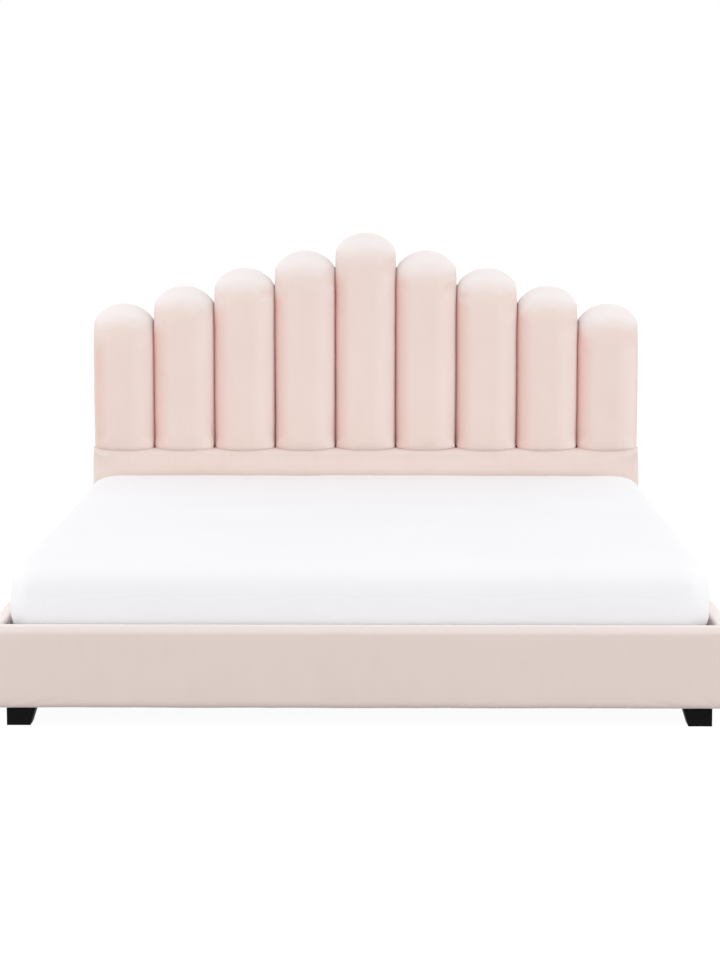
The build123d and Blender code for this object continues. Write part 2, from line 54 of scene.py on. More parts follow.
# Camera
CAMERA_PLACE = (0.0679, -7.6648, 1.4127)
CAMERA_PITCH = 6.772
CAMERA_YAW = 0.568
CAMERA_LENS = 99.39
CAMERA_SENSOR = 36.0

# Light: each lamp's place, aim, size in metres, power in watts and spread in degrees
WORLD_STRENGTH = 0.91
LIGHTS = {
    "front_light": ((0.5, -7.0, 1.8), (0.0, 0.0, 0.6), (4.0, 4.0), 63.5, 180.0),
    "left_light": ((-5.0, -1.0, 1.8), (0.0, -0.5, 0.4), (5.0, 3.0), 65.0, 180.0),
    "right_light": ((5.0, -1.0, 1.8), (0.0, -0.5, 0.4), (5.0, 3.0), 60.0, 180.0),
    "back_light": ((0.0, 5.0, 2.6), (0.0, 0.0, 1.6), (9.0, 5.0), 46.0, 180.0),
    "strip_light": ((0.0, -0.3, 2.3), (0.0, 0.98, 0.5), (3.4, 0.4), 0.5, 60.0),
}
FLOOR_SIZE = 600.0
FLOOR_GLOW = 0.95
FLOOR_SHADE = 0.11
FLOOR_BOUNCE = 0.60

# Colours, linear
# The rails, the headboard's upright parts and the band are one velvet in three tones: painted light and
# shade for how each part is lit.
BLUSH = (0.786, 0.671, 0.630)
BLUSH_DEEP = (0.769, 0.645, 0.601)
BLUSH_UPRIGHT = (0.792, 0.655, 0.604)
BLUSH_UPRIGHT_DEEP = (0.775, 0.629, 0.575)
BLUSH_BAND = (0.79, 0.665, 0.612)
BLUSH_BAND_DEEP = (0.773, 0.639, 0.583)
MATTRESS_WHITE = (0.90, 0.90, 0.92)
FOOT_BLACK = (0.0045, 0.0042, 0.004)

# Velvet, with painted light and shade in its colour: a pale painted sheen where the surface faces upwards,
# fading in between two upward slopes, with its share by part; painted shade in the seams and along each
# channel's left side and a painted highlight along its right side, from seam to seam across a channel; and
# painted shade on the band, darker at its top and lighter towards the mattress. The seam shade fades in
# below the channels' shoulders and ends a share of a channel inside the headboard's outer edges.
# Painted sheen: the colour turns pale where the surface faces upwards.
TOP_SHEEN_PALE = (0.87, 0.82, 0.81)
TOP_SHEEN_START = 0.0
TOP_SHEEN_FULL = 0.52
TOP_SHEEN_SHARE = 0.90
TOP_SHEEN_RAIL = 0.35
TOP_SHEEN_BAND = 0.12
# Painted shade in the seams between channels and along each channel's left side, and a painted highlight
# along its right side.
SEAM_SHADE_FADE = 0.06
SEAM_SHADE_RIM = 0.1
SEAM_SHADE_STOPS = (
    (0.0, (0.88, 0.43, 0.40)),
    (0.03, (0.97, 0.76, 0.75)),
    (0.08, (0.985, 0.88, 0.86)),
    (0.25, (1.0, 1.0, 1.0)),
    (0.62, (1.0, 1.0, 1.0)),
    (0.86, (1.05, 1.09, 1.11)),
    (0.97, (1.10, 1.14, 1.15)),
    (1.0, (0.88, 0.46, 0.43)),
)
# Painted shade and light on the band: darker under the channels, lighter towards the mattress.
BAND_SHADE_STOPS = ((0.0, (0.955, 0.95, 0.95)), (1.0, (1.045, 1.05, 1.05)))

# Headboard. Ripples are pairs of height and size, and a pull has its place, its lean and its reach.
CHANNEL_COUNT = 9
ARCH_RISE = 0.056
PAD_EDGE_DEPTH = 0.032
PAD_CROWN = 0.038
PAD_TOP_DEPTH = 0.010
PAD_TOP_ROLL = 0.105
PAD_BOTTOM_ROLL = 0.016
PAD_BELLY = 0.011
PAD_TUCK = 0.006
PAD_SIDE_PRESS = 0.002
PAD_SIDE_POWER = 2.8
PAD_TOP_PULL = 0.014
PAD_TOP_PULL_START = 0.16
PAD_TOP_PULL_REACH = 0.12
PAD_BOTTOM_SHARE = 0.3
PAD_GRID_TURN = 0.46 * pi
PAD_HELD = 0.006
PAD_FREE = 0.02
PAD_VOXEL = 0.008
PAD_PRESSURE = 3.0
PAD_CAP = 0.006
PAD_RIPPLES = ((0.0011, 0.11), (0.0005, 0.035))
BAND_ROLL = 0.014
BAND_SLACK = 0.002
BAND_HELD = 0.008
BAND_FREE = 0.03
BAND_VOXEL = 0.012
BAND_PRESSURE = 3.0
BAND_CAP = 0.004
BAND_RIPPLES = ((0.0008, 0.16), (0.0005, 0.05))
BAND_PULLS = ((-0.055, -0.012, 0.05), (0.01, 0.006, 0.06), (0.06, 0.014, 0.045))
BAND_PULL_WANDER = 0.012
BAND_PULL_DROP = 0.004
BAND_PULL_WIDTH = 0.009
BAND_PULL_DEPTH = 0.0026
BAND_END_PULL = ((0.004, 0.006), (0.055, 0.03))
BAND_END_WIDTH = 0.006
BAND_END_DEPTH = 0.003
EDGE_INSET = 0.003
EDGE_THICKNESS = 0.008
EDGE_ROUND = 0.006
EDGE_TUCK = 0.006
CLOTH_INSET = 0.006
CLOTH_GRID = 0.03
CLOTH_THICKNESS = 0.0007
CLOTH_LIFT = 0.0011
CLOTH_SLACK = 0.0006
CLOTH_RIPPLE = 0.18
CLOTH_HEM = 0.08
STAPLE_INSET = 0.012
STAPLE_BOTTOM = 0.009
STAPLE_STEP = 0.004
STAPLE_EVERY = 14
STAPLE_ENDS = 6
STAPLE_LIFT = 0.0002
STAPLE_WIRE = 0.0007
STAPLE_CROWN = 0.011

# Mattress
MATTRESS_CORNER = 0.082
MATTRESS_TOP_ROLL = 0.07
MATTRESS_REAR_ROLL = 0.008
MATTRESS_UNDER_ROLL = 0.04
MATTRESS_SLACK = 0.003
MATTRESS_LOFT = 0.003
MATTRESS_REAR = 0.004
MATTRESS_REAR_BLEND = 0.05
MATTRESS_REAR_CORNER = 0.19
MATTRESS_UNDER_RINGS = (0.8, 0.5, 0.25, 0.12)
MATTRESS_TOP_RINGS = (0.12, 0.2, 0.35, 0.55, 0.8)
MATTRESS_HELD = 0.01
MATTRESS_VOXEL = 0.03
MATTRESS_PRESSURE = 2.5
MATTRESS_CAP = 0.004
MATTRESS_RIPPLES = ((0.0012, 0.30), (0.0006, 0.09))

# Rails
RAIL_TOP_RADIUS = 0.021
RAIL_INNER_RADIUS = 0.008
RAIL_BOTTOM_RADIUS = 0.018
RAIL_RETURN = 0.045
RAIL_RECESS = 0.005
RAIL_FLUSH = 0.0003
RAIL_SAG = 0.002
RAIL_STEP = 0.02
RAIL_SLACK = 0.002
RAIL_END_DROP = 0.5
RAIL_HELD_SLOPE = 0.15
RAIL_HELD_DROP = 0.02
RAIL_FREE_SLOPE = -0.35
RAIL_FREE_SPAN = 0.6
RAIL_PRESSURE = 2.5
RAIL_CAP = 0.003
RAIL_RIPPLES = ((0.0012, 0.17), (0.0005, 0.05))
RAIL_WINDOW_CLEAR = 0.002
RAIL_WINDOW_STEP = 0.0004
FOOT_RAIL_ROUND = 0.02
SIDE_RAIL_ROUND = 0.008
FOOT_PULLS = (
    (-0.93, 0.04, 0.03),
    (-0.90, 0.10, 0.028),
    (-0.84, 0.12, 0.022),
    (0.80, -0.10, 0.02),
    (0.90, -0.06, 0.03),
)
FOOT_PULL_LIFT = 0.006
FOOT_PULL_WIDTH = 0.006
FOOT_PULL_DEPTH = 0.0022

nodes = frame["nodes"]


# Mesh helpers


def finish_mesh(piece, material, body):
    """Smooth shading, a material, and the body that carries the piece."""
    piece.data.materials.clear()
    piece.data.materials.append(material)
    piece.data.polygons.foreach_set("use_smooth", [True] * len(piece.data.polygons))
    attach(piece, body)
    return piece


def mesh_piece(name, points, faces):
    """A mesh object with its faces turned outwards."""
    mesh = bpy.data.meshes.new(name)
    mesh.from_pydata([tuple(p) for p in points], [], faces)
    shell = bmesh.new()
    shell.from_mesh(mesh)
    bmesh.ops.recalc_face_normals(shell, faces=shell.faces)
    shell.to_mesh(mesh)
    shell.free()
    piece = bpy.data.objects.new(name, mesh)
    bpy.context.scene.collection.objects.link(piece)
    return piece


def get_points(piece):
    points = np.zeros(len(piece.data.vertices) * 3)
    piece.data.vertices.foreach_get("co", points)
    return points.reshape(-1, 3)


def set_points(piece, points):
    piece.data.vertices.foreach_set("co", np.asarray(points).ravel())
    piece.data.update()


def get_normals(piece):
    normals = np.zeros(len(piece.data.vertices) * 3)
    piece.data.vertices.foreach_get("normal", normals)
    return normals.reshape(-1, 3)


def apply_modifiers(piece):
    """The piece's mesh with its modifiers made permanent."""
    depsgraph = bpy.context.evaluated_depsgraph_get()
    mesh = bpy.data.meshes.new_from_object(piece.evaluated_get(depsgraph))
    piece.modifiers.clear()
    piece.data = mesh


def even_mesh(piece, voxel):
    remesh = piece.modifiers.new("Even", "REMESH")
    remesh.mode = "VOXEL"
    remesh.voxel_size = voxel
    apply_modifiers(piece)


def relax(piece, times):
    """Evens out the small steps that a remesh leaves."""
    smooth = piece.modifiers.new("Relax", "SMOOTH")
    smooth.iterations = times
    apply_modifiers(piece)


def refine(piece, levels=1):
    """A finer mesh, rounded by subdivision."""
    smooth = piece.modifiers.new("Refine", "SUBSURF")
    smooth.levels = levels
    apply_modifiers(piece)


def fill_span(points, axis, low, high):
    """Stretches points along one axis so that they just fill the span between two places."""
    values = points[:, axis]
    share = (values - values.min()) / np.ptp(values)
    points[:, axis] = low + share * (high - low)


def ring_faces(ring_count, ring_size):
    """Quads between closed rings of equal size, with both end rings capped."""
    faces = []
    for r in range(ring_count - 1):
        for k in range(ring_size):
            after = (k + 1) % ring_size
            a, b = r * ring_size, (r + 1) * ring_size
            faces.append((a + k, a + after, b + after, b + k))
    faces.append(tuple(reversed(range(ring_size))))
    last = (ring_count - 1) * ring_size
    faces.append(tuple(range(last, last + ring_size)))
    return faces


def slab_faces(rows, columns):
    """Quads of a closed slab: a front grid, a back grid and the rim between them."""
    faces = []
    back = rows * columns
    for r in range(rows - 1):
        for c in range(columns - 1):
            a = r * columns + c
            quad = (a, a + 1, a + columns + 1, a + columns)
            faces.append(quad)
            faces.append(tuple(back + k for k in reversed(quad)))
    rim = list(range(columns))
    rim += [r * columns + columns - 1 for r in range(1, rows)]
    rim += [(rows - 1) * columns + c for c in range(columns - 2, -1, -1)]
    rim += [r * columns for r in range(rows - 2, 0, -1)]
    for k, a in enumerate(rim):
        b = rim[(k + 1) % len(rim)]
        faces.append((b, a, back + a, back + b))
    return faces


def rolled(distance, radius):
    """A quarter-round rise from 0 at an edge to 1 at a radius away from it."""
    share = np.clip(distance / radius, 0.0, 1.0)
    return np.sqrt(1.0 - (1.0 - share) ** 2)


def ease(value):
    value = np.clip(value, 0.0, 1.0)
    return value * value * (3.0 - 2.0 * value)


def ripple(points, size, seed):
    """Smooth noise from -1 to 1 at each point, with bumps of about the given size."""
    shift = Vector((seed * 7.31, seed * 3.17, seed * 5.73))
    return np.array([noise.noise(Vector(p) / size + shift) for p in points])


def uneven(points, ripples, seeds):
    """The sum of several ripples, each with its height, its size and its seed."""
    return sum(height * ripple(points, size, seed) for (height, size), seed in zip(ripples, seeds))


def crease(points, start, end, width, depth):
    """How far each point sinks along a soft fold between two points, deepest at the start."""
    start, end = np.array(start), np.array(end)
    along = end - start
    share = np.clip((points - start) @ along / (along @ along), 0.0, 1.0)
    away = np.linalg.norm(points - (start + share[:, None] * along), axis=1)
    return depth * (1.0 - ease(share)) * np.exp(-((away / width) ** 2))


def inflate(piece, held, pressure, cap, frames=14):
    """Swells the cloth under pressure with the held points fixed, and limits how far a point moves."""
    scene = bpy.context.scene
    start = get_points(piece)
    group = piece.vertex_groups.new(name="held")
    group.add([int(k) for k in np.flatnonzero(held)], 1.0, "REPLACE")
    cloth = piece.modifiers.new("Cloth", "CLOTH")
    cloth.settings.vertex_group_mass = group.name
    cloth.settings.use_pressure = True
    cloth.settings.uniform_pressure_force = pressure
    cloth.settings.effector_weights.gravity = 0.0
    cloth.point_cache.frame_start = 1
    cloth.point_cache.frame_end = frames
    for step in range(1, frames + 1):
        scene.frame_set(step)
    depsgraph = bpy.context.evaluated_depsgraph_get()
    swollen = get_points(piece.evaluated_get(depsgraph))
    piece.modifiers.remove(cloth)
    piece.vertex_groups.remove(group)
    scene.frame_set(1)
    move = swollen - start
    length = np.linalg.norm(move, axis=1)
    limit = cap * np.tanh(length / cap)
    set_points(piece, start + move * (limit / np.maximum(length, 1e-9))[:, None])


# Materials


class Shader:
    """A short way to write a node material."""

    def __init__(self, name):
        self.material = bpy.data.materials.new(name)
        self.material.use_nodes = True
        self.tree = self.material.node_tree
        self.surface = self.tree.nodes["Principled BSDF"]
        self.place = self.add("ShaderNodeTexCoord").outputs["Object"]

    def add(self, kind, **inputs):
        node = self.tree.nodes.new(kind)
        for key, value in inputs.items():
            self.feed(node.inputs[key.replace("_", " ")], value)
        return node

    def feed(self, socket, value):
        if isinstance(value, bpy.types.NodeSocket):
            self.tree.links.new(value, socket)
        else:
            socket.default_value = value

    def stretched(self, scale):
        mapping = self.add("ShaderNodeMapping", Vector=self.place, Scale=scale)
        return mapping.outputs["Vector"]

    def noise(self, scale, detail=3.0, rough=0.5, stretch=(1.0, 1.0, 1.0)):
        place = self.stretched(stretch)
        texture = self.add("ShaderNodeTexNoise", Vector=place, Scale=scale, Detail=detail, Roughness=rough)
        return texture.outputs["Fac"]

    def wave(self, scale, direction, distortion=0.0):
        texture = self.add("ShaderNodeTexWave", Vector=self.place, Scale=scale, Distortion=distortion)
        texture.bands_direction = direction
        return texture.outputs["Fac"]

    def ramp(self, value, stops):
        node = self.add("ShaderNodeValToRGB", Fac=value)
        elements = node.color_ramp.elements
        while len(elements) < len(stops):
            elements.new(0.5)
        for element, (place, colour) in zip(elements, stops):
            element.position = place
            element.color = (*colour, 1.0)
        return node.outputs["Color"]

    def scalar(self, value, low, high):
        """A number that runs from low to high as a 0 to 1 value does."""
        node = self.add("ShaderNodeMapRange", Value=value)
        node.inputs["To Min"].default_value = low
        node.inputs["To Max"].default_value = high
        return node.outputs["Result"]

    def math(self, operation, *values):
        node = self.tree.nodes.new("ShaderNodeMath")
        node.operation = operation
        for socket, value in zip(node.inputs, values):
            self.feed(socket, value)
        return node.outputs["Value"]

    def eased(self, value, low, high, top=1.0):
        """A number that rises smoothly from 0 at a low value to its top at a high one."""
        node = self.add("ShaderNodeMapRange", Value=value)
        node.interpolation_type = "SMOOTHSTEP"
        node.inputs["From Min"].default_value = low
        node.inputs["From Max"].default_value = high
        node.inputs["To Max"].default_value = top
        return node.outputs["Result"]

    def part(self, vector, axis):
        """One of a vector's three numbers."""
        return self.add("ShaderNodeSeparateXYZ", Vector=vector).outputs[axis]

    def mix(self, share, a, b, blend="MIX"):
        node = self.tree.nodes.new("ShaderNodeMix")
        node.data_type = "RGBA"
        node.blend_type = blend
        self.feed(node.inputs[0], share)
        self.feed(node.inputs[6], a)
        self.feed(node.inputs[7], b)
        return node.outputs[2]

    def bump(self, height, strength, distance):
        node = self.add("ShaderNodeBump", Height=height, Strength=strength, Distance=distance)
        return node.outputs["Normal"]

    def set(self, **inputs):
        for key, value in inputs.items():
            self.feed(self.surface.inputs[key.replace("_", " ")], value)
        return self.material


def velvet(name, base, deep, painted_sheen=TOP_SHEEN_SHARE, pitch=None, painted_shade_span=None):
    """Short-pile velvet: soft patches where the pile lies differently, a fine pile and a pale sheen.

    A pale painted sheen is mixed into the colour where the cloth turns upwards. With a pitch, painted
    shade darkens the colour towards upright seams that far apart and along each channel's left side, and a
    painted highlight lightens its right side.
    With two heights, painted shade and light make the colour darker at the first and lighter towards the
    second.
    """
    shader = Shader(name)
    patches = shader.noise(5.0, 3.0, 0.55)
    streaks = shader.noise(14.0, 2.0, 0.5, (3.0, 3.0, 0.6))
    pile = shader.noise(1100.0, 2.0, 0.6)
    tone = shader.math("ADD", shader.math("MULTIPLY", patches, 0.6), shader.math("MULTIPLY", streaks, 0.4))
    colour = shader.ramp(tone, [(0.25, deep), (0.70, base)])
    if pitch:
        # Painted shade in the channel seams and on each channel's left side, and a painted highlight on
        # its right side, below the shoulders.
        turns = shader.math("DIVIDE", shader.part(shader.place, "X"), pitch)
        share = shader.math("FRACT", shader.math("ADD", turns, 0.5))
        steps = shader.math("ABSOLUTE", turns)
        height = shader.part(shader.place, "Z")
        over = shader.math("ADD", height, shader.math("MULTIPLY", steps, CHANNEL_STEP))
        below = shader.eased(over, SHOULDER, SHOULDER - SEAM_SHADE_FADE)
        inside = shader.eased(steps, CHANNEL_COUNT / 2, CHANNEL_COUNT / 2 - SEAM_SHADE_RIM)
        drawn = shader.math("MULTIPLY", below, inside)
        colour = shader.mix(drawn, colour, shader.ramp(share, SEAM_SHADE_STOPS), "MULTIPLY")
    # Painted shade and light: darker at the first height, lighter towards the second.
    if painted_shade_span:
        flat = shader.eased(shader.part(shader.place, "Z"), *painted_shade_span)
        colour = shader.mix(1.0, colour, shader.ramp(flat, BAND_SHADE_STOPS), "MULTIPLY")
    # Painted sheen: a pale colour mixed in where the surface faces upwards.
    facing = shader.part(shader.add("ShaderNodeNewGeometry").outputs["Normal"], "Z")
    colour = shader.mix(shader.eased(facing, TOP_SHEEN_START, TOP_SHEEN_FULL, painted_sheen), colour, (*TOP_SHEEN_PALE, 1.0))
    fleck = shader.ramp(pile, [(0.25, (0.90, 0.90, 0.90)), (0.75, (1.0, 1.0, 1.0))])
    return shader.set(
        Base_Color=shader.mix(0.5, colour, fleck, "MULTIPLY"),
        Roughness=shader.scalar(pile, 0.82, 0.95),
        Specular_IOR_Level=0.15,
        Sheen_Weight=0.8,
        Sheen_Roughness=0.40,
        Sheen_Tint=(1.0, 0.97, 0.96, 1.0),
        Normal=shader.bump(pile, 0.25, 0.0006),
    )


def lining():
    """Plain-woven cloth on the back of the headboard."""
    shader = Shader("dust_cloth")
    warp = shader.wave(420.0, "X", 0.6)
    weft = shader.wave(420.0, "Z", 0.6)
    weave = shader.math("MULTIPLY", warp, weft)
    patches = shader.noise(6.0, 3.0)
    colour = shader.ramp(patches, [(0.3, (0.735, 0.555, 0.495)), (0.7, (0.76, 0.58, 0.52))])
    threads = shader.ramp(weave, [(0.0, (0.82, 0.82, 0.82)), (0.6, (1.0, 1.0, 1.0))])
    return shader.set(
        Base_Color=shader.mix(0.7, colour, threads, "MULTIPLY"),
        Roughness=shader.scalar(weave, 0.95, 0.8),
        Specular_IOR_Level=0.2,
        Sheen_Weight=0.15,
        Normal=shader.bump(weave, 0.5, 0.0004),
    )


def knit():
    """White stretch cover of the mattress: a fine rib knit."""
    shader = Shader("mattress_fabric")
    rib = shader.wave(260.0, "X", 1.2)
    course = shader.wave(300.0, "Y", 1.2)
    loops = shader.math("MULTIPLY", rib, course)
    patches = shader.noise(3.0, 3.0)
    tint = shader.ramp(patches, [(0.3, tuple(0.985 * c for c in MATTRESS_WHITE)), (0.7, MATTRESS_WHITE)])
    shade = shader.ramp(loops, [(0.0, (0.965, 0.965, 0.968)), (0.7, (1.0, 1.0, 1.0))])
    return shader.set(
        Base_Color=shader.mix(0.6, tint, shade, "MULTIPLY"),
        Roughness=shader.scalar(loops, 0.92, 0.82),
        Specular_IOR_Level=0.2,
        Sheen_Weight=0.08,
        Normal=shader.bump(loops, 0.25, 0.0005),
    )


GRAIN = {"X": (0.05, 1.0, 1.0), "Y": (1.0, 0.05, 1.0), "Z": (1.0, 1.0, 0.05)}


def wood(name, along, pale, dark, scale=38.0):
    """Wood with its grain along one axis: growth bands, fine pores and a satin face."""
    shader = Shader(f"{name}_{along.lower()}")
    bands = shader.noise(scale, 4.0, 0.6, GRAIN[along])
    pores = shader.noise(scale * 9.0, 2.0, 0.7, GRAIN[along])
    cloud = shader.noise(4.0, 2.0)
    colour = shader.ramp(bands, [(0.32, dark), (0.52, pale), (0.72, tuple(0.88 * c for c in pale))])
    shade = shader.ramp(cloud, [(0.3, (0.90, 0.88, 0.86)), (0.7, (1.0, 1.0, 1.0))])
    speck = shader.ramp(pores, [(0.36, (0.72, 0.66, 0.60)), (0.5, (1.0, 1.0, 1.0))])
    toned = shader.mix(0.8, colour, shade, "MULTIPLY")
    return shader.set(
        Base_Color=shader.mix(0.45, toned, speck, "MULTIPLY"),
        Roughness=shader.scalar(bands, 0.50, 0.68),
        Specular_IOR_Level=0.35,
        Normal=shader.bump(pores, 0.18, 0.0004),
    )


def moulded(name, colour, light):
    """Moulded plastic with a fine spark texture and faint scuffs."""
    shader = Shader(name)
    spark = shader.noise(1400.0, 2.0, 0.6)
    scuff = shader.noise(22.0, 4.0, 0.6)
    return shader.set(
        Base_Color=shader.ramp(scuff, [(0.35, colour), (0.75, light)]),
        Roughness=shader.scalar(scuff, 0.50, 0.66),
        Specular_IOR_Level=0.06,
        Normal=shader.bump(spark, 0.22, 0.0003),
    )


def powder_coat():
    """Black powder-coated steel with a faint orange-peel texture."""
    shader = Shader("painted_steel")
    peel = shader.noise(520.0, 2.0, 0.5)
    dust = shader.noise(18.0, 4.0, 0.6)
    return shader.set(
        Base_Color=shader.ramp(dust, [(0.35, (0.018, 0.018, 0.019)), (0.75, (0.034, 0.034, 0.035))]),
        Roughness=shader.scalar(dust, 0.36, 0.50),
        Normal=shader.bump(peel, 0.30, 0.0004),
    )


def zinc():
    """Zinc-plated steel: a mottled, lightly brushed metal."""
    shader = Shader("zinc_steel")
    mottle = shader.noise(160.0, 3.0, 0.6)
    brush = shader.noise(900.0, 2.0, 0.6, (1.0, 1.0, 0.08))
    return shader.set(
        Base_Color=shader.ramp(mottle, [(0.3, (0.50, 0.50, 0.52)), (0.7, (0.68, 0.68, 0.70))]),
        Metallic=1.0,
        Roughness=shader.scalar(mottle, 0.24, 0.42),
        Normal=shader.bump(brush, 0.12, 0.0003),
    )


PLY_PALE, PLY_DARK = (0.60, 0.41, 0.23), (0.42, 0.26, 0.13)
PINE_PALE, PINE_DARK = (0.66, 0.46, 0.25), (0.47, 0.28, 0.13)
BIRCH_PALE, BIRCH_DARK = (0.72, 0.54, 0.34), (0.56, 0.38, 0.21)

CHANNEL_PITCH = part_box("channel_pad_2")[0].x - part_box("channel_pad_1")[0].x
CHANNEL_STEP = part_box("channel_pad_2")[1].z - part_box("channel_pad_1")[1].z
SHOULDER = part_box("channel_pad_5")[1].z - 0.5 * CHANNEL_STEP - ARCH_RISE
# One velvet in three tones by part: painted light and shade for how each part is lit.
VELVET = velvet("velvet", BLUSH, BLUSH_DEEP, TOP_SHEEN_RAIL)
VELVET_UPRIGHT = velvet("velvet_upright", BLUSH_UPRIGHT, BLUSH_UPRIGHT_DEEP, TOP_SHEEN_RAIL)
# The band's painted shade runs from its top down to the mattress's top.
BAND_SHADE_SPAN = (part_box("headboard_lower_pad")[1].z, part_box("mattress_cover")[1].z)
VELVET_BAND = velvet("velvet_band", BLUSH_BAND, BLUSH_BAND_DEEP, TOP_SHEEN_BAND, painted_shade_span=BAND_SHADE_SPAN)
VELVET_CHANNEL = velvet("velvet_channel", BLUSH_UPRIGHT, BLUSH_UPRIGHT_DEEP, pitch=CHANNEL_PITCH)
LINING = lining()
KNIT = knit()
ZINC = zinc()
PLYWOOD = {axis: wood("plywood", axis, PLY_PALE, PLY_DARK) for axis in "XYZ"}
PINE = {axis: wood("pine", axis, PINE_PALE, PINE_DARK, 26.0) for axis in "XYZ"}
BIRCH = wood("bent_ply", "X", BIRCH_PALE, BIRCH_DARK, 46.0)
PLAIN = {
    "holder_plastic": moulded("holder_plastic", (0.018, 0.018, 0.019), (0.030, 0.030, 0.031)),
    "foot_plastic": moulded("foot_plastic", FOOT_BLACK, tuple(1.8 * c for c in FOOT_BLACK)),
    "painted_steel": powder_coat(),
    "zinc_steel": ZINC,
    "bent_ply": BIRCH,
    "velvet": VELVET,
    "dust_cloth": LINING,
    "mattress_fabric": KNIT,
    "mattress_foam": KNIT,
}


def longest_axis(node):
    low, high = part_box(node)
    size = high - low
    return "XYZ"[max(range(3), key=lambda k: size[k])]


def dress_nodes():
    """Every node of the frame gets the finish of its material slot, with wood grain along its length."""
    grains = {"plywood": PLYWOOD, "pine": PINE}
    for part in frame["record"]["subparts"]:
        node, slot = part["node"], part["material_slot"]
        finish = grains[slot][longest_axis(node)] if slot in grains else PLAIN[slot]
        for place in nodes[node].material_slots:
            place.material = finish


# Headboard


def arch_drop(offset, half, rise):
    """How far an arched top lies under its crown at a distance from the middle."""
    radius = (half * half + rise * rise) / (2.0 * rise)
    return radius - np.sqrt(radius * radius - offset * offset)


def channel_cushion(number):
    """One padded channel: a crowned front, rolled back at the arched top, that hangs over the band."""
    node = f"channel_pad_{number}"
    low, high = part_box(node)
    middle = (low.x + high.x) / 2
    half = (high.x - low.x) / 2
    rows, columns = 90, 41
    across = np.sin(np.linspace(-1, 1, columns) * PAD_GRID_TURN) / sin(PAD_GRID_TURN)
    up = np.linspace(0, 1, rows)
    s, t = np.meshgrid(across, up)
    crown_z = high.z - arch_drop(s * half, half, ARCH_RISE)
    floor_z = low.z - PAD_TUCK - (PAD_BELLY - PAD_TUCK) * (1 - s * s)
    z = floor_z + t * (crown_z - floor_z)
    top = rolled(crown_z - z, PAD_TOP_ROLL)
    bottom = rolled(z - floor_z, PAD_BOTTOM_ROLL)
    side = (1 - np.abs(s) ** PAD_SIDE_POWER) ** 0.5
    edge = PAD_TOP_DEPTH + (PAD_EDGE_DEPTH - PAD_TOP_DEPTH) * top
    depth = edge + PAD_CROWN * side * top * (1 - PAD_BOTTOM_SHARE + PAD_BOTTOM_SHARE * bottom)
    pull = 1 - PAD_TOP_PULL * ease((z - high.z + PAD_TOP_PULL_START) / PAD_TOP_PULL_REACH)
    x = middle + s * half * pull
    front = np.stack([x, high.y - depth, z], axis=-1).reshape(-1, 3)
    back = np.stack([x, np.full_like(x, high.y), np.maximum(z, low.z)], axis=-1).reshape(-1, 3)
    points = np.concatenate([front, back])
    piece = mesh_piece(f"channel_cushion_{number}", points, slab_faces(rows, columns))
    even_mesh(piece, PAD_VOXEL)
    points = get_points(piece)
    inflate(piece, points[:, 1] > high.y - PAD_HELD, PAD_PRESSURE, PAD_CAP)
    relax(piece, 4)
    refine(piece)
    points = get_points(piece)
    normals = get_normals(piece)
    free = ease((high.y - points[:, 1]) / PAD_FREE)
    swell = uneven(points, PAD_RIPPLES, (number, number + 20))
    points += normals * (swell * free)[:, None]
    fill_span(points, 0, low.x - PAD_SIDE_PRESS, high.x + PAD_SIDE_PRESS)
    fill_span(points, 2, low.z - PAD_BELLY, high.z)
    points[:, 0] = np.clip(points[:, 0], low.x, high.x)
    points[:, 1] = np.minimum(points[:, 1], high.y)
    set_points(piece, points)
    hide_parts(node)
    return finish_mesh(piece, VELVET_CHANNEL, "bed_frame")


def headboard_band():
    """The padded band below the channels, rolled over at its edges, with soft pulls under the channels."""
    low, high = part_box("headboard_lower_pad")
    half = high.x
    rows, columns = 46, 181
    x, z = np.meshgrid(np.linspace(-half, half, columns), np.linspace(low.z, high.z, rows))
    top = rolled(high.z - z, BAND_ROLL)
    ends = rolled(half - np.abs(x), BAND_ROLL)
    bottom = rolled(z - low.z, BAND_ROLL)
    depth = (high.y - low.y) - BAND_SLACK - BAND_ROLL * (1 - top * ends * bottom)
    front = np.stack([x, high.y - depth, z], axis=-1).reshape(-1, 3)
    back = np.stack([x, np.full_like(x, high.y), z], axis=-1).reshape(-1, 3)
    piece = mesh_piece("headboard_band", np.concatenate([front, back]), slab_faces(rows, columns))
    even_mesh(piece, BAND_VOXEL)
    points = get_points(piece)
    inflate(piece, points[:, 1] > high.y - BAND_HELD, BAND_PRESSURE, BAND_CAP)
    refine(piece, 2)
    points = get_points(piece)
    normals = get_normals(piece)
    free = ease((high.y - points[:, 1]) / BAND_FREE)
    swell = uneven(points, BAND_RIPPLES, (41, 42))
    sink = np.zeros(len(points))
    for k in range(CHANNEL_COUNT):
        pad_low, pad_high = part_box(f"channel_pad_{k + 1}")
        middle = (pad_low.x + pad_high.x) / 2
        for offset, lean, reach in BAND_PULLS:
            wander = BAND_PULL_WANDER * sin(2.4 * k + 30 * offset)
            start = (middle + offset + wander, low.y, high.z - BAND_PULL_DROP)
            end = (middle + offset + lean + 2 * wander, low.y, high.z - BAND_PULL_DROP - reach)
            sink += crease(points, start, end, BAND_PULL_WIDTH, BAND_PULL_DEPTH)
    for side in (-1, 1):
        start, end = [(side * (half - inward), low.y, high.z - down) for inward, down in BAND_END_PULL]
        sink += crease(points, start, end, BAND_END_WIDTH, BAND_END_DEPTH)
    points += normals * ((swell - sink) * free)[:, None]
    fill_span(points, 0, low.x, high.x)
    fill_span(points, 2, low.z, high.z)
    points[:, 1] = np.minimum(points[:, 1], high.y)
    set_points(piece, points)
    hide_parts("headboard_lower_pad")
    return finish_mesh(piece, VELVET_BAND, "bed_frame")


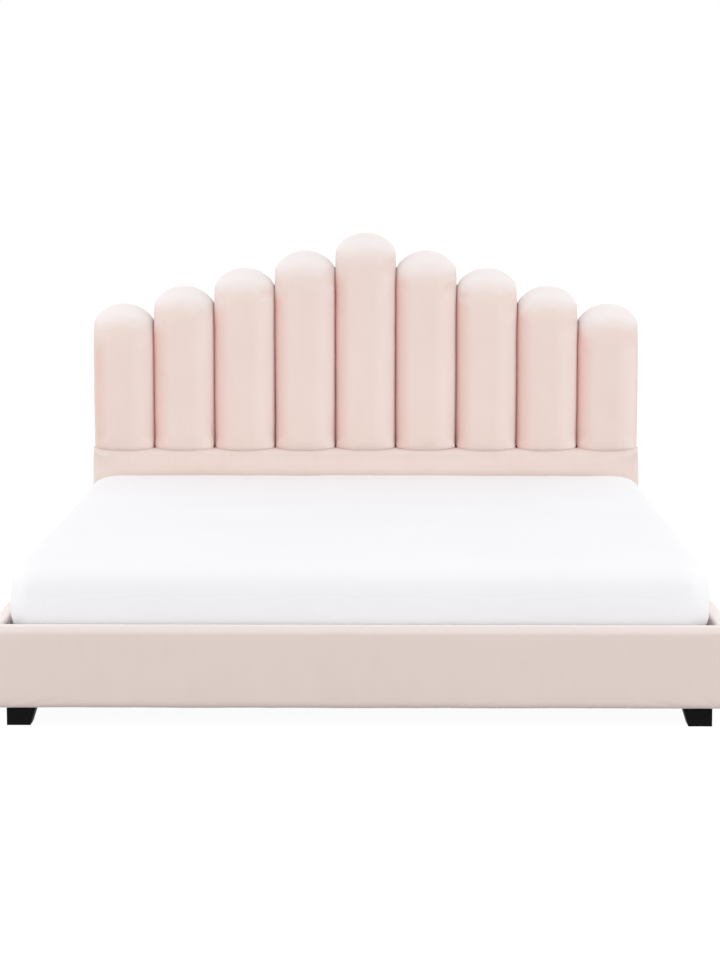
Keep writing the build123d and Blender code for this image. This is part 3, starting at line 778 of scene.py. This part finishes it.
def headboard_outline(inset, bottom, arc_steps=18):
    """The headboard's outline in front view, drawn in by inset, from its lower left corner clockwise."""
    boxes = [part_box(f"channel_pad_{k + 1}") for k in range(CHANNEL_COUNT)]
    band_low, band_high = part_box("headboard_lower_pad")
    half = (boxes[0][1].x - boxes[0][0].x) / 2
    radius = (half * half + ARCH_RISE * ARCH_RISE) / (2 * ARCH_RISE)
    turn = radius - inset
    reach = half - inset
    rise = sqrt(turn**2 - reach * reach)
    seam = boxes[0][0].z - inset
    edge = band_high.x - inset
    points = [(-edge, bottom), (-edge, band_low.z), (-edge, seam)]
    middles = [(low.x + high.x) / 2 for low, high in boxes]
    shoulders = [high.z - radius + rise for low, high in boxes]
    points.append((middles[0] - reach, seam))
    for k in range(CHANNEL_COUNT):
        centre = boxes[k][1].z - radius
        start = np.arccos(-reach / turn)
        for step in range(arc_steps + 1):
            angle = start + (pi - 2 * start) * step / arc_steps
            points.append((middles[k] + turn * cos(angle), centre + turn * sin(angle)))
        if k < CHANNEL_COUNT - 1:
            lower = min(shoulders[k], shoulders[k + 1])
            corner = middles[k + 1] - reach if shoulders[k] < shoulders[k + 1] else middles[k] + reach
            points.append((corner, lower))
    points += [(middles[-1] + reach, seam), (edge, seam), (edge, band_low.z), (edge, bottom)]
    return points


def headboard_edge():
    """The velvet edge round the headboard's frame, tucked under the pads and rounded at its back."""
    low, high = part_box("headboard_border")
    head_rail_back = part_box("head_rail")[1].y
    band_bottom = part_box("headboard_lower_pad")[0].z
    tucked = low.y - EDGE_TUCK
    outer = headboard_outline(EDGE_INSET, low.z)
    inner = headboard_outline(EDGE_INSET + EDGE_THICKNESS, low.z + EDGE_THICKNESS)
    rings = []
    for (x, z), (u, w) in zip(outer, inner):
        fronts = [tucked]
        if abs(z - band_bottom) < 1e-4:
            fronts = [head_rail_back, tucked] if x < 0 else [tucked, head_rail_back]
        elif z < band_bottom:
            fronts = [head_rail_back]
        for front in fronts:
            rings.append(edge_section((x, z), (u, w), front, high.y))
    size = len(rings[0])
    faces = []
    for r in range(len(rings)):
        for k in range(size):
            a, b = r * size, (r + 1) % len(rings) * size
            after = (k + 1) % size
            faces.append((a + k, a + after, b + after, b + k))
    piece = mesh_piece("headboard_edge", [p for ring in rings for p in ring], faces)
    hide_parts("headboard_border")
    return finish_mesh(piece, VELVET_UPRIGHT, "bed_frame")


def edge_section(outer, inner, front, back):
    """A rounded strip's section between an outer and an inner outline point, from front to back."""
    curve = [(0.0, front), (0.0, front + 0.5 * (back - front))]
    for step in range(7):
        angle = 0.5 * pi * step / 6
        curve.append((1 - cos(angle), back - EDGE_ROUND + EDGE_ROUND * sin(angle)))
    (x, z), (u, w) = outer, inner
    section = []
    for share, y in curve:
        inward = share * EDGE_ROUND / EDGE_THICKNESS
        section.append((x + inward * (u - x), y, z + inward * (w - z)))
    section.append((u, back, w))
    section.append((u, front, w))
    return section


def back_cloth():
    """The lining stretched over the back of the headboard, slightly slack between its staples."""
    low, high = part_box("headboard_back_cover")
    outline = headboard_outline(CLOTH_INSET, low.z + CLOTH_INSET / 2)
    inside = []
    for gx in np.arange(low.x + CLOTH_GRID, high.x, CLOTH_GRID):
        for gz in np.arange(low.z + CLOTH_GRID, high.z, CLOTH_GRID):
            inside.append((gx + 0.3 * CLOTH_GRID * sin(90 * gz), gz))
    loop = densify(outline, CLOTH_GRID)
    fixed = [(k, (k + 1) % len(loop)) for k in range(len(loop))]
    spots = [Vector(p) for p in loop + inside]
    found = delaunay_2d_cdt(spots, fixed, [list(range(len(loop)))], 1, 1e-5)
    flat = np.array([(p.x, p.y) for p in found[0]])
    rim = np.array(loop)
    away = np.array([np.min(np.hypot(rim[:, 0] - p[0], rim[:, 1] - p[1])) for p in flat])
    points = np.stack([flat[:, 0], np.full(len(flat), low.y + CLOTH_LIFT), flat[:, 1]], axis=1)
    slack = CLOTH_SLACK + CLOTH_SLACK * ripple(points, CLOTH_RIPPLE, 61)
    points[:, 1] += slack * ease(away / CLOTH_HEM)
    piece = mesh_piece("back_cloth", points, [tuple(face) for face in found[2]])
    thick = piece.modifiers.new("Thickness", "SOLIDIFY")
    thick.thickness = CLOTH_THICKNESS
    thick.offset = 0.0
    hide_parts("headboard_back_cover")
    return finish_mesh(piece, LINING, "bed_frame")


def densify(outline, spacing):
    """The closed outline with points no further apart than the spacing."""
    dense = []
    for (x, z), (u, w) in zip(outline, outline[1:] + outline[:1]):
        parts = max(1, int(np.hypot(u - x, w - z) / spacing))
        dense += [(x + (u - x) * k / parts, z + (w - z) * k / parts) for k in range(parts)]
    return dense


def back_staples():
    """Wire staples that hold the lining along the headboard's edge."""
    low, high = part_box("headboard_back_cover")
    points, faces = [], []
    path = densify(headboard_outline(STAPLE_INSET, low.z + STAPLE_BOTTOM), STAPLE_STEP)
    for k in range(STAPLE_ENDS, len(path) - STAPLE_ENDS, STAPLE_EVERY):
        here, there = Vector(path[k]), Vector(path[k + 2])
        if (there - here).length < 1e-6:
            continue
        along = (there - here).normalized()
        across = Vector((-along.y, along.x))
        base = len(points)
        for lengthwise in (-0.5, 0.5):
            for wide, rise in ((-0.5, -1.0), (0.5, -1.0), (0.5, 0.0), (-0.5, 0.0)):
                spot = here + along * STAPLE_CROWN * lengthwise + across * STAPLE_WIRE * wide
                points.append((spot.x, high.y + STAPLE_LIFT + STAPLE_WIRE * (rise + 1.0), spot.y))
        for q in range(4):
            r = (q + 1) % 4
            faces.append((base + q, base + r, base + 4 + r, base + 4 + q))
        faces.append((base + 3, base + 2, base + 1, base))
        faces.append((base + 4, base + 5, base + 6, base + 7))
    piece = mesh_piece("back_staples", points, faces)
    return finish_mesh(piece, ZINC, "bed_frame")


# Rails


def stretch(start, end, count):
    """Evenly spaced points on a straight line, without its last point."""
    return [tuple(np.array(start) + (np.array(end) - np.array(start)) * k / count) for k in range(count)]


def quarter(centre, radius, first, count):
    """Points on a quarter circle that turns anticlockwise from an angle, without its last point."""
    turns = [radians(first + 90.0 * k / count) for k in range(count)]
    return [(centre[0] + radius * cos(a), centre[1] + radius * sin(a)) for a in turns]


def rail_section(thickness, bottom, top, recess):
    """A padded rail's section: outwards from its inner face, and up. The recess shows the board inside."""
    inner, under = RAIL_INNER_RADIUS, RAIL_BOTTOM_RADIUS
    outer = min(RAIL_TOP_RADIUS, thickness - inner - 0.001)
    fold = top - RAIL_RETURN
    points = stretch((recess, bottom), (thickness - under, bottom), 5)
    points += quarter((thickness - under, bottom + under), under, -90.0, 4)
    points += stretch((thickness, bottom + under), (thickness, top - outer), 20)
    points += quarter((thickness - outer, top - outer), outer, 0.0, 7)
    points += stretch((thickness - outer, top), (inner, top), 3)
    points += quarter((inner, top - inner), inner, 90.0, 4)
    points += stretch((0.0, top - inner), (0.0, fold), 5)
    points += stretch((recess, fold), (recess, bottom), 16)
    return points


def rail_cover(name, node, place, length, thickness, window, end_radius):
    """A padded rail along its length, with rounded ends where a radius is given, as one closed skin."""
    low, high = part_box(node)
    start, end = length
    rings = []
    for along, opened in rail_stations(start, end, window, end_radius):
        within = window[0] - 1e-6 <= along <= window[1] + 1e-6
        recess = RAIL_RECESS if within and opened else RAIL_FLUSH
        lean = 0.0
        for limit, sign, radius in ((start, 1, end_radius[0]), (end, -1, end_radius[1])):
            depth = radius - sign * (along - limit)
            if radius and depth > 0:
                lean = max(lean, radius - sqrt(max(radius * radius - depth * depth, 0.0)))
        top = high.z - RAIL_END_DROP * lean
        section = rail_section(thickness - lean, low.z - RAIL_SAG, top, recess)
        rings.append([(*place(along, out), z) for out, z in section])
    size = len(rings[0])
    return mesh_piece(name, [p for ring in rings for p in ring], ring_faces(len(rings), size))


def rail_stations(start, end, window, end_radius):
    """Places along a rail, each with whether the recess is open there: the window's ends come twice."""
    places = set(np.round(np.linspace(start, end, int((end - start) / RAIL_STEP)), 6))
    for limit, sign, radius in ((start, 1, end_radius[0]), (end, -1, end_radius[1])):
        turns = [0.5 * pi * k / 6 for k in range(7) if radius]
        places |= {round(limit + sign * radius * (1 - cos(turn)), 6) for turn in turns}
    first, last = window
    clear = [p for p in places if min(abs(p - first), abs(p - last)) > RAIL_WINDOW_CLEAR]
    stations = [(p, first < p < last) for p in clear]
    if first > start + 0.003:
        stations += [(first, False), (first + RAIL_WINDOW_STEP, True)]
    if last < end - 0.001:
        stations += [(last - RAIL_WINDOW_STEP, True), (last, False)]
    if start not in [p for p, _ in stations]:
        stations.append((start, first <= start))
    if end not in [p for p, _ in stations]:
        stations.append((end, last >= end))
    return sorted(set(stations))


def soften_rail(piece, outward, seed, creases=()):
    """Swells a rail's padding and adds the slight unevenness of hand-pulled cloth."""
    points = get_points(piece)
    normals = get_normals(piece)
    low, high = points[:, 2].min(), points[:, 2].max()
    facing = normals @ np.array(outward)
    held = (facing < RAIL_HELD_SLOPE) & (points[:, 2] < high - RAIL_HELD_DROP)
    inflate(piece, held, RAIL_PRESSURE, RAIL_CAP)
    refine(piece)
    points = get_points(piece)
    normals = get_normals(piece)
    facing = normals @ np.array(outward)
    free = ease((facing - RAIL_FREE_SLOPE) / RAIL_FREE_SPAN)
    swell = uneven(points, RAIL_RIPPLES, (seed, seed + 1))
    sink = np.zeros(len(points))
    for start, end, width, depth in creases:
        sink += crease(points, start, end, width, depth)
    points += normals * ((swell - sink) * free)[:, None]
    points[:, 2] = np.clip(points[:, 2], low, None)
    set_points(piece, points)
    return finish_mesh(piece, VELVET, "bed_frame")


def foot_rail():
    """The padded foot rail, rounded at both ends, with short pulls at its lower edge near them."""
    low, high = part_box("foot_rail_cover")
    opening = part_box("side_rail_board_right")[0].x
    piece = rail_cover(
        "foot_rail_padding",
        "foot_rail_cover",
        lambda along, out: (along, high.y - out),
        (low.x, high.x),
        high.y - low.y - RAIL_SLACK,
        (-opening, opening),
        (FOOT_RAIL_ROUND, FOOT_RAIL_ROUND),
    )
    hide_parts("foot_rail_cover")
    creases = []
    for x, lean, reach in FOOT_PULLS:
        start = (x, low.y, low.z + FOOT_PULL_LIFT)
        end = (x + lean, low.y, low.z + FOOT_PULL_LIFT + reach)
        creases.append((start, end, FOOT_PULL_WIDTH, FOOT_PULL_DEPTH))
    return soften_rail(piece, (0, -1, 0), 71, creases)


def side_rail(side, name):
    """One padded side rail, square at its front end and rounded at its rear end."""
    node = f"side_rail_cover_{name}"
    low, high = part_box(node)
    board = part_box(f"side_rail_board_{name}")
    inner = low.x if side > 0 else high.x
    piece = rail_cover(
        f"side_rail_padding_{name}",
        node,
        lambda along, out: (inner + side * out, along),
        (low.y, high.y),
        high.x - low.x - RAIL_SLACK,
        (low.y - 0.01, board[1].y),
        (0.0, SIDE_RAIL_ROUND),
    )
    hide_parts(node)
    return soften_rail(piece, (side, 0, 0), 81 + side)


# Mattress


def rounded_ring(half_x, half_y, radius, side_steps=26, corner_steps=8):
    """A closed rounded rectangle about the origin, anticlockwise."""
    radius = max(radius, 0.002)
    corners = [(1, -1, -90.0), (1, 1, 0.0), (-1, 1, 90.0), (-1, -1, 180.0)]
    arcs = []
    for sx, sy, first in corners:
        centre = (sx * (half_x - radius), sy * (half_y - radius))
        turns = [radians(first + 90.0 * k / corner_steps) for k in range(corner_steps + 1)]
        arcs.append([(centre[0] + radius * cos(a), centre[1] + radius * sin(a)) for a in turns])
    ring = []
    for k, arc in enumerate(arcs):
        ring += arc[:-1]
        ring += stretch(arc[-1], arcs[(k + 1) % 4][0], side_steps)
    return ring


def mattress():
    """A foam mattress in a stretch cover: full rounded edges, sharper at the top edge by the headboard."""
    low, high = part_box("mattress_cover")
    centre_y = (low.y + high.y) / 2
    half_x, half_y = high.x, (high.y - low.y) / 2
    top_roll, rear_roll, under_roll = MATTRESS_TOP_ROLL, MATTRESS_REAR_ROLL, MATTRESS_UNDER_ROLL
    top = high.z - MATTRESS_SLACK
    profile = [(inset, low.z) for inset in MATTRESS_UNDER_RINGS]
    for k in range(7):
        turn = 0.5 * pi * k / 6
        profile.append((under_roll * (1 - sin(turn)), low.z + under_roll * (1 - cos(turn))))
    for k in range(1, 5):
        profile.append((0.0, low.z + under_roll + (high.z - low.z - top_roll - under_roll) * k / 5))
    for k in range(10):
        turn = 0.5 * pi * k / 9
        profile.append((top_roll * (1 - cos(turn)), top - top_roll * (1 - sin(turn))))
    profile += [(inset, top) for inset in MATTRESS_TOP_RINGS]
    rings = []
    for inset, z in profile:
        drawn = MATTRESS_SLACK + inset
        ring = rounded_ring(half_x - drawn, half_y - drawn, MATTRESS_CORNER - inset)
        rings.append([(x, y + centre_y, z) for x, y in ring])
    size = len(rings[0])
    piece = mesh_piece("mattress_body", [p for ring in rings for p in ring], ring_faces(len(rings), size))
    even_mesh(piece, MATTRESS_VOXEL)
    points = get_points(piece)
    inflate(piece, points[:, 2] < low.z + MATTRESS_HELD, MATTRESS_PRESSURE, MATTRESS_CAP)
    relax(piece, 2)
    refine(piece, 2)
    points = get_points(piece)
    normals = get_normals(piece)
    swell = uneven(points, MATTRESS_RIPPLES, (91, 92))
    points += normals * swell[:, None]
    rear = high.y + MATTRESS_REAR
    fill_span(points, 0, low.x, high.x)
    fill_span(points, 1, low.y, rear)
    fill_span(points, 2, low.z, high.z + MATTRESS_LOFT)
    reach = np.clip(points[:, 1] - (rear - top_roll), 0.0, top_roll)
    fallen = top_roll - np.sqrt(top_roll**2 - reach**2)
    short = np.clip(points[:, 1] - (rear - rear_roll), 0.0, rear_roll)
    wanted = rear_roll - np.sqrt(rear_roll**2 - short**2)
    upper = ease((points[:, 2] - high.z + top_roll + MATTRESS_REAR_BLEND) / MATTRESS_REAR_BLEND)
    between = ease((half_x - np.abs(points[:, 0])) / MATTRESS_REAR_CORNER)
    points[:, 2] += (fallen - wanted) * upper * between
    set_points(piece, points)
    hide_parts("mattress_cover", "mattress_core")
    return finish_mesh(piece, KNIT, "mattress")


# Stage, light and camera


def studio_floor():
    """A white floor that shows bright to the camera and keeps a soft shadow."""
    bpy.ops.mesh.primitive_plane_add(size=FLOOR_SIZE, location=(0, 0, 0))
    floor = bpy.context.object
    floor.name = "studio_floor"
    material = bpy.data.materials.new("studio_floor")
    material.use_nodes = True
    tree = material.node_tree
    tree.nodes.clear()
    output = tree.nodes.new("ShaderNodeOutputMaterial")
    path = tree.nodes.new("ShaderNodeLightPath")
    lit = tree.nodes.new("ShaderNodeBsdfDiffuse")
    lit.inputs["Color"].default_value = (FLOOR_BOUNCE, FLOOR_BOUNCE, FLOOR_BOUNCE, 1)
    shade = tree.nodes.new("ShaderNodeBsdfDiffuse")
    shade.inputs["Color"].default_value = (FLOOR_SHADE, FLOOR_SHADE, FLOOR_SHADE, 1)
    glow = tree.nodes.new("ShaderNodeEmission")
    glow.inputs["Strength"].default_value = FLOOR_GLOW
    bright = tree.nodes.new("ShaderNodeAddShader")
    tree.links.new(shade.outputs[0], bright.inputs[0])
    tree.links.new(glow.outputs[0], bright.inputs[1])
    choice = tree.nodes.new("ShaderNodeMixShader")
    tree.links.new(seen_rays(tree, path), choice.inputs[0])
    tree.links.new(lit.outputs[0], choice.inputs[1])
    tree.links.new(bright.outputs[0], choice.inputs[2])
    tree.links.new(choice.outputs[0], output.inputs["Surface"])
    floor.data.materials.append(material)


def seen_rays(tree, path):
    """1 for rays from the camera, from a glossy reflection or through glass, and 0 for diffuse light."""
    total = path.outputs["Is Camera Ray"]
    for kind in ("Is Glossy Ray", "Is Transmission Ray"):
        larger = tree.nodes.new("ShaderNodeMath")
        larger.operation = "MAXIMUM"
        tree.links.new(total, larger.inputs[0])
        tree.links.new(path.outputs[kind], larger.inputs[1])
        total = larger.outputs[0]
    return total


def studio_world():
    """A white surround to the eye that gives a little less light."""
    world = bpy.data.worlds.new("studio")
    bpy.context.scene.world = world
    world.use_nodes = True
    tree = world.node_tree
    path = tree.nodes.new("ShaderNodeLightPath")
    level = tree.nodes.new("ShaderNodeMapRange")
    level.inputs["To Min"].default_value = WORLD_STRENGTH
    level.inputs["To Max"].default_value = 1.0
    tree.links.new(seen_rays(tree, path), level.inputs["Value"])
    background = tree.nodes["Background"]
    background.inputs["Color"].default_value = (1, 1, 1, 1)
    tree.links.new(level.outputs["Result"], background.inputs["Strength"])


def area_light(name, place, target, size, power, spread):
    """A soft box that the camera doesn't see."""
    lamp = bpy.data.lights.new(name, "AREA")
    lamp.shape = "RECTANGLE"
    lamp.size, lamp.size_y = size
    lamp.energy = power
    lamp.spread = radians(spread)
    holder = bpy.data.objects.new(name, lamp)
    holder.location = place
    holder.rotation_euler = (Vector(target) - Vector(place)).to_track_quat("-Z", "Y").to_euler()
    holder.visible_camera = False
    bpy.context.scene.collection.objects.link(holder)


def photo_camera():
    """A camera at the photograph's place and angle."""
    lens = bpy.data.cameras.new("photo_camera")
    lens.sensor_fit = "VERTICAL"
    lens.sensor_height = CAMERA_SENSOR
    lens.lens = CAMERA_LENS
    lens.clip_end = 1000.0
    camera = bpy.data.objects.new("photo_camera", lens)
    camera.location = CAMERA_PLACE
    camera.rotation_euler = (radians(90.0 - CAMERA_PITCH), 0.0, radians(CAMERA_YAW))
    bpy.context.scene.collection.objects.link(camera)
    bpy.context.scene.camera = camera


dress_nodes()
for number in range(1, CHANNEL_COUNT + 1):
    channel_cushion(number)
headboard_band()
headboard_edge()
back_cloth()
back_staples()
foot_rail()
side_rail(-1, "left")
side_rail(1, "right")
mattress()
studio_floor()
studio_world()
for name, setting in LIGHTS.items():
    area_light(name, *setting)
photo_camera()
bpy.context.scene.view_settings.view_transform = "Standard"
